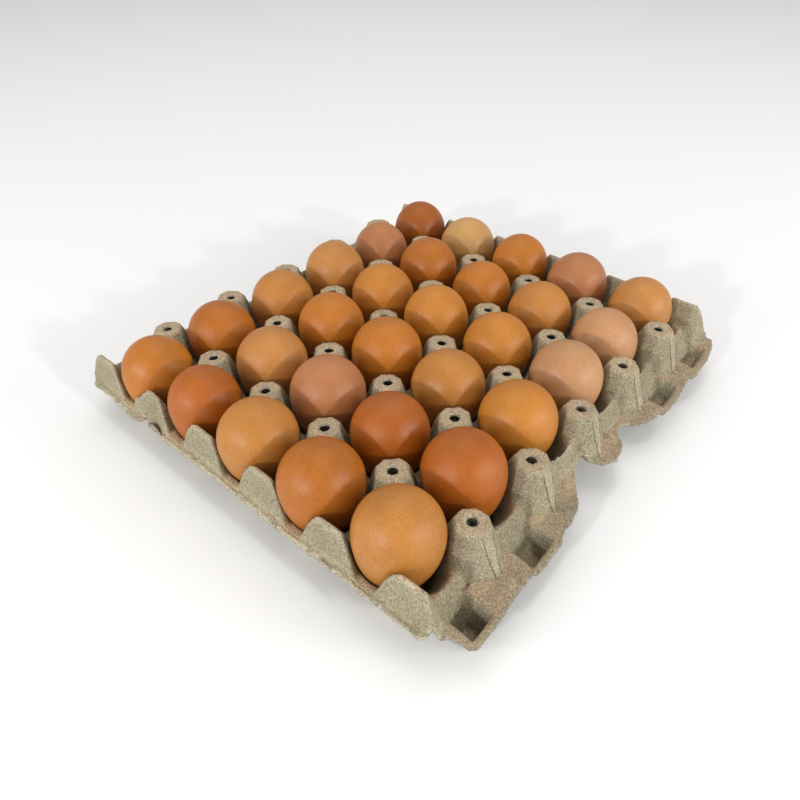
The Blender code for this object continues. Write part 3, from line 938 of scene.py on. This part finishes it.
def eggshell_material(speckles):
    """Brown eggshell: the egg's own tone, cloudy bloom, fine pores and darker speckles."""
    material, nodes, shader = new_material("eggshell")
    place = nodes.add("ShaderNodeTexCoord").outputs["Object"]
    tone = nodes.add("ShaderNodeAttribute", attribute_name="shell_tone").outputs["Color"]
    speckled = nodes.add("ShaderNodeAttribute", attribute_name="speckled").outputs["Fac"]
    bloom = nodes.noise(place, 45.0, 3.0, 0.55)
    grain = nodes.noise(place, 900.0, 3.0, 0.6)
    light = nodes.spread(bloom, 0.3, 0.72, 0.92, 1.08)
    light = nodes.math("MULTIPLY", light, nodes.spread(grain, 0.3, 0.7, 0.92, 1.08))
    grey = nodes.add("ShaderNodeCombineColor", {"Red": light, "Green": light, "Blue": light}).outputs[0]
    base = nodes.mix(1.0, tone, grey, "MULTIPLY")
    darker = nodes.mix(1.0, base, (0.55, 0.36, 0.22, 1.0), "MULTIPLY")
    patch = nodes.spread(nodes.noise(place, 70.0), 0.30, 0.52)
    for scale, size, amount, strength in ((980.0, 0.37, 0.70, 0.9), (300.0, 0.15, 0.16, 1.0)):
        dots = nodes.add("ShaderNodeGroup", {}, node_tree=speckles)
        for socket, value in (("Vector", place), ("Scale", scale), ("Size", size), ("Amount", amount)):
            nodes.feed(dots.inputs[socket], value)
        share = nodes.math(
            "MULTIPLY", nodes.math("MULTIPLY", dots.outputs["Mask"], strength),
            nodes.math("MULTIPLY", speckled, patch)
        )
        base = nodes.mix(share, base, darker)
    nodes.feed(shader.inputs["Base Color"], base)
    nodes.feed(shader.inputs["Roughness"], nodes.spread(bloom, 0.3, 0.7, 0.40, 0.48))
    shader.inputs["Specular IOR Level"].default_value = 0.36
    pores = nodes.math("ADD", nodes.math("MULTIPLY", grain, 0.6), nodes.noise(place, 320.0, 2.0))
    bump = nodes.add("ShaderNodeBump", {"Strength": 0.10, "Distance": 0.0003, "Height": pores})
    nodes.feed(shader.inputs["Normal"], bump.outputs["Normal"])
    return material


# ---------------------------------------------------------------- shape trees


def egg_tree():
    """A round egg, blunt end up, from its breadth and length, leaned and stood in its place."""
    tree, nodes, given, put = new_group(
        "GeometryNodeTree", "egg_shape",
        [("Breadth", "NodeSocketFloat", 0.042), ("Length", "NodeSocketFloat", 0.056),
         ("Blunt Share", "NodeSocketFloat", 0.45), ("Fullness", "NodeSocketFloat", 0.045),
         ("Unevenness", "NodeSocketFloat", 0.006), ("Rings", "NodeSocketInt", 40),
         ("Lean", "NodeSocketVector", None), ("Place", "NodeSocketVector", None),
         ("Shell", "NodeSocketMaterial", None)],
        [("Geometry", "NodeSocketGeometry")],
    )
    around = nodes.math("MULTIPLY", given.outputs["Rings"], 1.5)
    ball = nodes.add(
        "GeometryNodeMeshUVSphere", {"Segments": around, "Rings": given.outputs["Rings"], "Radius": 1.0}
    )
    position = nodes.add("GeometryNodeInputPosition").outputs[0]
    parts = nodes.add("ShaderNodeSeparateXYZ", {0: position})
    rise = parts.outputs["Z"]
    waist = nodes.math(
        "SQRT", nodes.math("MAXIMUM", nodes.math("SUBTRACT", 1.0, nodes.math("MULTIPLY", rise, rise)), 0.0)
    )
    lean_in = nodes.math(
        "MULTIPLY", nodes.math("MULTIPLY", waist, rise),
        nodes.math("MULTIPLY", given.outputs["Fullness"], 2.0)
    )
    full = nodes.math("ADD", lean_in, 1.0)
    where = nodes.add(
        "ShaderNodeVectorMath", {0: position, 1: given.outputs["Place"]}, operation="ADD"
    ).outputs[0]
    far = nodes.add(
        "ShaderNodeVectorMath", {0: given.outputs["Place"], "Scale": 900.0}, operation="SCALE"
    ).outputs[0]
    spot = nodes.add("ShaderNodeVectorMath", {0: where, 1: far}, operation="ADD").outputs[0]
    uneven = nodes.math(
        "MULTIPLY", nodes.math("SUBTRACT", nodes.noise(spot, 0.9, 1.0), 0.5), given.outputs["Unevenness"]
    )
    full = nodes.math("ADD", full, nodes.math("MULTIPLY", uneven, 2.0))
    half = nodes.math("MULTIPLY", given.outputs["Breadth"], 0.5)
    wide = nodes.math("MULTIPLY", half, full)
    blunt = nodes.math("MULTIPLY", given.outputs["Blunt Share"], given.outputs["Length"])
    narrow = nodes.math("SUBTRACT", given.outputs["Length"], blunt)
    above = nodes.math("GREATER_THAN", rise, 0.0)
    tall = nodes.math("ADD", narrow, nodes.math("MULTIPLY", above, nodes.math("SUBTRACT", blunt, narrow)))
    shaped = nodes.add("ShaderNodeCombineXYZ", {
        "X": nodes.math("MULTIPLY", parts.outputs["X"], wide),
        "Y": nodes.math("MULTIPLY", parts.outputs["Y"], wide),
        "Z": nodes.math("MULTIPLY", rise, tall),
    })
    egg = nodes.add(
        "GeometryNodeSetPosition", {"Geometry": ball.outputs["Mesh"], "Position": shaped.outputs[0]}
    )
    smooth = nodes.add("GeometryNodeSetShadeSmooth", {"Geometry": egg.outputs[0]})
    stood = nodes.add("GeometryNodeTransform", {
        "Geometry": smooth.outputs[0],
        "Translation": given.outputs["Place"], "Rotation": given.outputs["Lean"],
    })
    real = nodes.add("GeometryNodeRealizeInstances", {"Geometry": stood.outputs[0]})
    done = nodes.add(
        "GeometryNodeSetMaterial", {"Geometry": real.outputs[0], "Material": given.outputs["Shell"]}
    )
    nodes.feed(put.inputs["Geometry"], done.outputs[0])
    return tree


def sliver(nodes, length, thickness, bow, steps):
    """A thin bowed strand along X, as used for fibres."""
    line = nodes.add("GeometryNodeCurveQuadraticBezier", {
        "Resolution": steps, "Start": (-0.5, 0.0, 0.0), "Middle": (0.0, 0.25, bow), "End": (0.5, 0.0, 0.08),
    })
    ring = nodes.add("GeometryNodeCurvePrimitiveCircle", {"Resolution": 3, "Radius": 1.0})
    sized = nodes.add("GeometryNodeTransform", {
        "Geometry": line.outputs[0],
        "Scale": nodes.add("ShaderNodeCombineXYZ", {"X": length, "Y": length, "Z": length}).outputs[0],
    })
    thin = nodes.add("GeometryNodeTransform", {
        "Geometry": ring.outputs[0],
        "Scale": nodes.add(
            "ShaderNodeCombineXYZ", {"X": thickness, "Y": thickness, "Z": thickness}
        ).outputs[0],
    })
    body = nodes.add(
        "GeometryNodeCurveToMesh",
        {"Curve": sized.outputs[0], "Profile Curve": thin.outputs[0], "Fill Caps": True}
    )
    return body.outputs[0]


def fibre_tree():
    """Loose paper fibres lying on the sheet, thick along its cut edges."""
    tree, nodes, given, put = new_group(
        "GeometryNodeTree", "paper_fibres",
        [("Geometry", "NodeSocketGeometry", None), ("Length", "NodeSocketFloat", 0.0017),
         ("Thickness", "NodeSocketFloat", 0.00006), ("Edge Density", "NodeSocketFloat", 3.0),
         ("Face Density", "NodeSocketFloat", 0.1), ("Seed", "NodeSocketInt", 5),
         ("Pulp", "NodeSocketMaterial", None)],
        [("Geometry", "NodeSocketGeometry")],
    )
    rim = nodes.add(
        "GeometryNodeInputNamedAttribute", {"Name": "rim"}, data_type="FLOAT"
    ).outputs["Attribute"]
    extra = nodes.math("MULTIPLY", nodes.math("GREATER_THAN", rim, 0.5), given.outputs["Edge Density"])
    density = nodes.math("ADD", extra, given.outputs["Face Density"])
    facing = nodes.add(
        "ShaderNodeSeparateXYZ", {0: nodes.add("GeometryNodeInputNormal").outputs[0]}
    ).outputs["Z"]
    height = nodes.add(
        "ShaderNodeSeparateXYZ", {0: nodes.add("GeometryNodeInputPosition").outputs[0]}
    ).outputs["Z"]
    wanted = nodes.math(
        "MULTIPLY", nodes.math("GREATER_THAN", facing, -0.2), nodes.math("GREATER_THAN", height, 0.002)
    )
    density = nodes.math("MULTIPLY", density, wanted)
    points = nodes.add("GeometryNodeDistributePointsOnFaces", {
        "Mesh": given.outputs["Geometry"], "Density": density, "Seed": given.outputs["Seed"],
    })
    strand = sliver(nodes, given.outputs["Length"], given.outputs["Thickness"], 0.22, 5)
    spin = nodes.add("FunctionNodeRandomValue", {"Seed": 3}, data_type="FLOAT")
    spin.inputs[3].default_value = 6.283
    turned = nodes.add(
        "FunctionNodeRotateRotation", {"Rotation": points.outputs["Rotation"]}, rotation_space="LOCAL"
    )
    about = nodes.add("FunctionNodeAxisAngleToRotation", {"Axis": (0.0, 0.0, 1.0), "Angle": spin.outputs[1]})
    nodes.feed(turned.inputs[1], about.outputs[0])
    size = nodes.add("FunctionNodeRandomValue", {"Seed": 8}, data_type="FLOAT")
    size.inputs[2].default_value = 0.45
    size.inputs[3].default_value = 1.5
    placed = nodes.add("GeometryNodeInstanceOnPoints", {
        "Points": points.outputs["Points"], "Instance": strand,
        "Rotation": turned.outputs[0], "Scale": size.outputs[1],
    })
    real = nodes.add("GeometryNodeRealizeInstances", {"Geometry": placed.outputs[0]})
    done = nodes.add(
        "GeometryNodeSetMaterial", {"Geometry": real.outputs[0], "Material": given.outputs["Pulp"]}
    )
    nodes.feed(put.inputs["Geometry"], done.outputs[0])
    return tree


def flap_tree():
    """A torn flap of pulp hanging in every post hole, each turned and sized its own way."""
    tree, nodes, given, put = new_group(
        "GeometryNodeTree", "hole_flaps",
        [("Geometry", "NodeSocketGeometry", None), ("Size", "NodeSocketFloat", 0.0022),
         ("Thickness", "NodeSocketFloat", 0.0005), ("Seed", "NodeSocketInt", 2), (
             "Pulp", "NodeSocketMaterial", None
         )],
        [("Geometry", "NodeSocketGeometry")],
    )
    plate = nodes.add(
        "GeometryNodeMeshGrid", {"Size X": 1.0, "Size Y": 1.3, "Vertices X": 5, "Vertices Y": 6}
    )
    position = nodes.add("GeometryNodeInputPosition").outputs[0]
    parts = nodes.add("ShaderNodeSeparateXYZ", {0: position})
    across, along = parts.outputs["X"], parts.outputs["Y"]
    taper = nodes.math("SUBTRACT", 0.8, nodes.math("MULTIPLY", along, 0.55))
    curl = nodes.math("MULTIPLY", nodes.math("MULTIPLY", along, along), 0.5)
    curl = nodes.math("ADD", curl, nodes.math("MULTIPLY", nodes.math("MULTIPLY", across, across), 0.6))
    ragged = nodes.math("MULTIPLY", nodes.math("SUBTRACT", nodes.noise(position, 3.0, 2.0), 0.5), 0.7)
    shaped = nodes.add("ShaderNodeCombineXYZ", {
        "X": nodes.math("MULTIPLY", across, taper),
        "Y": nodes.math("ADD", along, ragged),
        "Z": nodes.math("ADD", curl, nodes.math("MULTIPLY", ragged, 0.6)),
    })
    bent = nodes.add(
        "GeometryNodeSetPosition", {"Geometry": plate.outputs["Mesh"], "Position": shaped.outputs[0]}
    )
    thick = nodes.add(
        "GeometryNodeExtrudeMesh", {"Mesh": bent.outputs[0], "Offset Scale": 0.2, "Individual": False},
        mode="FACES"
    )
    back = nodes.add("GeometryNodeFlipFaces", {"Mesh": bent.outputs[0]})
    joined = nodes.add("GeometryNodeJoinGeometry")
    tree.links.new(back.outputs[0], joined.inputs[0])
    tree.links.new(thick.outputs["Mesh"], joined.inputs[0])
    merged = nodes.add("GeometryNodeMergeByDistance", {"Geometry": joined.outputs[0], "Distance": 0.001})
    tilt = nodes.add("FunctionNodeRandomValue", {"Seed": given.outputs["Seed"]}, data_type="FLOAT_VECTOR")
    tilt.inputs[0].default_value = (-0.9, -0.5, 0.0)
    tilt.inputs[1].default_value = (-0.2, 0.5, 6.283)
    size = nodes.add("FunctionNodeRandomValue", {"Seed": 4}, data_type="FLOAT")
    size.inputs[2].default_value = 0.6
    size.inputs[3].default_value = 1.15
    sized = nodes.math("MULTIPLY", size.outputs[1], given.outputs["Size"])
    placed = nodes.add("GeometryNodeInstanceOnPoints", {
        "Points": given.outputs["Geometry"], "Instance": merged.outputs[0], "Scale": sized,
    })
    nodes.feed(
        placed.inputs["Rotation"], nodes.add("FunctionNodeEulerToRotation", {0: tilt.outputs[0]}).outputs[0]
    )
    real = nodes.add("GeometryNodeRealizeInstances", {"Geometry": placed.outputs[0]})
    smooth = nodes.add("GeometryNodeSetShadeSmooth", {"Geometry": real.outputs[0]})
    done = nodes.add(
        "GeometryNodeSetMaterial", {"Geometry": smooth.outputs[0], "Material": given.outputs["Pulp"]}
    )
    nodes.feed(put.inputs["Geometry"], done.outputs[0])
    return tree


def grown(name, tree, inputs, base=None):
    """A plain mesh object made by a shape tree; the tree's inputs are set by name."""
    mesh = base.copy() if base else bpy.data.meshes.new(name + "_start")
    maker = bpy.data.objects.new(name + "_maker", mesh)
    bpy.context.scene.collection.objects.link(maker)
    modifier = maker.modifiers.new("shape", "NODES")
    modifier.node_group = tree
    sockets = {item.name: item.identifier for item in tree.interface.items_tree if item.in_out == "INPUT"}
    for label, value in inputs.items():
        modifier[sockets[label]] = value
    bpy.context.view_layer.update()
    graph = bpy.context.evaluated_depsgraph_get()
    made = bpy.data.meshes.new_from_object(maker.evaluated_get(graph))
    maker.modifiers.remove(modifier)
    bpy.data.objects.remove(maker, do_unlink=True)
    if not made.polygons:
        raise RuntimeError(f"{name} came out empty")
    made.name = name
    piece = bpy.data.objects.new(name, made)
    bpy.context.scene.collection.objects.link(piece)
    return piece


# ---------------------------------------------------------------- operators


def shared(name, make, *given):
    """A material or node tree that is made once."""
    store = shared.__dict__.setdefault("made", {})
    if name not in store:
        store[name] = make(*given)
    return store[name]


def linear(channel):
    """A shown channel of 0 to 255 as linear light."""
    share = channel / 255.0
    return share / 12.92 if share <= 0.04045 else ((share + 0.055) / 1.055) ** 2.4


def egg_name(number):
    return f"egg_{number // COLUMNS + 1}_{number % COLUMNS + 1}"


class EGGTRAY_OT_lay_eggs(bpy.types.Operator):
    """Stands an egg in every cup, where the frame's own egg stands"""

    bl_idname = "egg_tray.lay_eggs"
    bl_label = "Lay the eggs"

    def execute(self, context):
        sizes = context.scene.egg_tray_sizes
        shell = shared("eggshell", eggshell_material, shared("speckles", speckle_group))
        tree = shared("egg_shape", egg_tree)
        for number, (breadth, length, shift_x, shift_y, lean_x, lean_y) in enumerate(EGGS):
            node = egg_name(number)
            low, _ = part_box(node)
            lean = (
                Euler((radians(lean_x), 0.0, 0.0)).to_matrix()
                @ Euler((0.0, radians(lean_y), 0.0)).to_matrix()
            )
            foot = 0.55 * length * MM * cos(radians(lean_x)) * cos(radians(lean_y))
            place = (
                ((number % COLUMNS - COLUMNS / 2 + 0.5) * PITCH_X + shift_x) * MM,
                ((number // COLUMNS - ROWS / 2 + 0.5) * PITCH_Y + shift_y) * MM,
                low.z + foot,
            )
            egg = grown("shell_" + node, tree, {
                "Breadth": breadth * MM, "Length": length * MM, "Rings": sizes.egg_rings,
                "Lean": tuple(lean.to_euler()), "Place": place, "Shell": shell,
            })
            red, green, blue = SHELLS[EGG_SHELLS[number]]
            speckled = FRECKLED.get(number, FEW_FRECKLES)
            tone = egg.data.attributes.new("shell_tone", "FLOAT_COLOR", "POINT")
            row = [linear(red), linear(green), linear(blue), 1.0] * len(egg.data.vertices)
            tone.data.foreach_set("color", np.array(row, np.float32))
            set_attribute(egg.data, "speckled", np.full(len(egg.data.vertices), speckled))
            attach(egg, "root")
            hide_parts(node)
        return {"FINISHED"}


def egg_faces():
    """All the eggs as one list of points, in millimetres, and one of faces."""
    points, faces = [], []
    for number in range(len(EGGS)):
        mesh = bpy.data.objects["shell_" + egg_name(number)].data
        start = len(points)
        points += [point.co / MM for point in mesh.vertices]
        faces += [[start + corner for corner in face.vertices] for face in mesh.polygons]
    return points, faces


class EGGTRAY_OT_press_tray(bpy.types.Operator):
    """Presses the pulp sheet: posts, cups, pockets, ears, flanges and frayed edges"""

    bl_idname = "egg_tray.press_tray"
    bl_label = "Press the tray"

    def execute(self, context):
        sizes = context.scene.egg_tray_sizes
        colours = context.scene.egg_tray_colours
        felt, speckles = shared("felt", felt_group), shared("speckles", speckle_group)
        pulp = shared("pulp", pulp_material, colours, felt, speckles)
        sheet = PulpSheet(egg_faces(), sizes.wall / MM)
        tray = build_tray_object(sheet, sizes, pulp)
        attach(tray, "root")
        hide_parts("tray")
        return {"FINISHED"}


class EGGTRAY_OT_hang_flaps(bpy.types.Operator):
    """Leaves a torn flap of pulp in every post hole"""

    bl_idname = "egg_tray.hang_flaps"
    bl_label = "Hang the hole flaps"

    def execute(self, context):
        holes = [
            ((column - COLUMNS / 2) * PITCH_X, (row - ROWS / 2) * PITCH_Y, POST_TOP - 1.9)
            for column in range(1, COLUMNS) for row in range(ROWS + 1)
        ]
        base = mesh_from("hole_middles", holes, [])
        flaps = grown(
            "hole_flaps", shared("hole_flap_shape", flap_tree), {"Pulp": shared("pulp", None)}, base
        )
        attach(flaps, "root")
        return {"FINISHED"}


def keep_inside(mesh, farthest_x, farthest_y):
    """Moves any point beyond these distances, in millimetres, back to them."""
    points = np.empty(len(mesh.vertices) * 3, np.float32)
    mesh.vertices.foreach_get("co", points)
    points = points.reshape(-1, 3)
    for axis, farthest in ((0, farthest_x), (1, farthest_y)):
        points[:, axis] = np.clip(points[:, axis], -farthest * MM, farthest * MM)
    mesh.vertices.foreach_set("co", points.ravel())
    mesh.update()


class EGGTRAY_OT_scatter_fibres(bpy.types.Operator):
    """Scatters loose paper fibres over the pulp, thickest along its cut edges"""

    bl_idname = "egg_tray.scatter_fibres"
    bl_label = "Scatter the fibres"

    def execute(self, context):
        sizes = context.scene.egg_tray_sizes
        fibres = grown("pulp_fibres", shared("fibre_shape", fibre_tree), {
            "Length": sizes.fibre_length, "Edge Density": 700000.0, "Face Density": 12000.0,
            "Pulp": shared("pulp", None),
        }, bpy.data.objects["pulp_tray"].data)
        keep_inside(fibres.data, FARTHEST_X, FARTHEST_Y)
        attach(fibres, "root")
        return {"FINISHED"}


class EGGTRAY_OT_set_stage(bpy.types.Operator):
    """Sets the floor, the soft lights and the camera"""

    bl_idname = "egg_tray.set_stage"
    bl_label = "Set the stage"

    def execute(self, context):
        scene = context.scene
        floor_material, _, shader = new_material("floor")
        shader.inputs["Base Color"].default_value = colour(scene.egg_tray_colours.floor)
        shader.inputs["Roughness"].default_value = 0.9
        around = ((-1, -1), (1, -1), (1, 1), (-1, 1))
        corners = [(x * FLOOR_REACH, y * FLOOR_REACH, FLOOR_LEVEL) for x, y in around]
        mesh = mesh_from("floor", corners, [(0, 1, 2, 3)])
        mesh.materials.append(floor_material)
        floor = bpy.data.objects.new("floor", mesh)
        scene.collection.objects.link(floor)
        for name, azimuth, height, distance, size, power in (
            ("light_from_narrow_end", 184.0, 21.0, 1.6, 0.10, 8.0),
            ("light_from_wide_side", -94.0, 21.0, 1.6, 0.10, 7.0),
            ("soft_light_left", 158.0, 20.0, 1.6, 0.60, 6.2),
            ("soft_light_right", -68.0, 20.0, 1.6, 0.60, 7.0),
            ("light_from_above", 40.0, 75.0, 2.0, 1.8, 9.0),
        ):
            lamp = bpy.data.lights.new(name, "AREA")
            lamp.shape = "DISK"
            lamp.size = size
            lamp.energy = power
            light = bpy.data.objects.new(name, lamp)
            turn, rise = radians(azimuth), radians(height)
            back = Vector((np.cos(turn) * np.cos(rise), np.sin(turn) * np.cos(rise), np.sin(rise)))
            light.location = back * distance + Vector((0.0, 0.0, 0.04))
            light.rotation_euler = back.to_track_quat("Z", "Y").to_euler()
            scene.collection.objects.link(light)
        world = bpy.data.worlds.new("studio")
        world.use_nodes = True
        world.node_tree.nodes["Background"].inputs["Color"].default_value = (1.0, 0.985, 0.96, 1.0)
        world.node_tree.nodes["Background"].inputs["Strength"].default_value = 0.62
        scene.world = world
        lens = bpy.data.cameras.new("camera")
        lens.sensor_width = 36.0
        lens.lens = 28.44
        lens.clip_start = 0.01
        camera = bpy.data.objects.new("camera", lens)
        camera.location = (-0.2537, -0.2103, 0.2683)
        camera.rotation_euler = (radians(49.436), radians(0.407), radians(-49.323))
        scene.collection.objects.link(camera)
        scene.camera = camera
        scene.view_settings.view_transform = "Standard"
        return {"FINISHED"}


OPERATORS = [
    EGGTRAY_OT_lay_eggs, EGGTRAY_OT_press_tray, EGGTRAY_OT_hang_flaps,
    EGGTRAY_OT_scatter_fibres, EGGTRAY_OT_set_stage,
]


class EGGTRAY_PT_panel(bpy.types.Panel):
    """Lists the sizes, the colours and the steps of the egg tray"""

    bl_label = "Egg tray"
    bl_idname = "EGGTRAY_PT_panel"
    bl_space_type = "VIEW_3D"
    bl_region_type = "UI"
    bl_category = "Egg tray"

    def draw(self, context):
        for group in (context.scene.egg_tray_sizes, context.scene.egg_tray_colours):
            for name in group.__annotations__:
                self.layout.prop(group, name)
        for operator in OPERATORS:
            self.layout.operator(operator.bl_idname)


CLASSES = [EggTraySizes, EggTrayColours, *OPERATORS, EGGTRAY_PT_panel]


def register():
    for made in CLASSES:
        bpy.utils.register_class(made)
    bpy.types.Scene.egg_tray_sizes = bpy.props.PointerProperty(type=EggTraySizes)
    bpy.types.Scene.egg_tray_colours = bpy.props.PointerProperty(type=EggTrayColours)


def unregister():
    del bpy.types.Scene.egg_tray_colours
    del bpy.types.Scene.egg_tray_sizes
    for made in reversed(CLASSES):
        bpy.utils.unregister_class(made)


def main():
    register()
    bpy.ops.egg_tray.lay_eggs()
    bpy.ops.egg_tray.press_tray()
    bpy.ops.egg_tray.hang_flaps()
    bpy.ops.egg_tray.scatter_fibres()
    bpy.ops.egg_tray.set_stage()


if __name__ == "__main__":
    main()
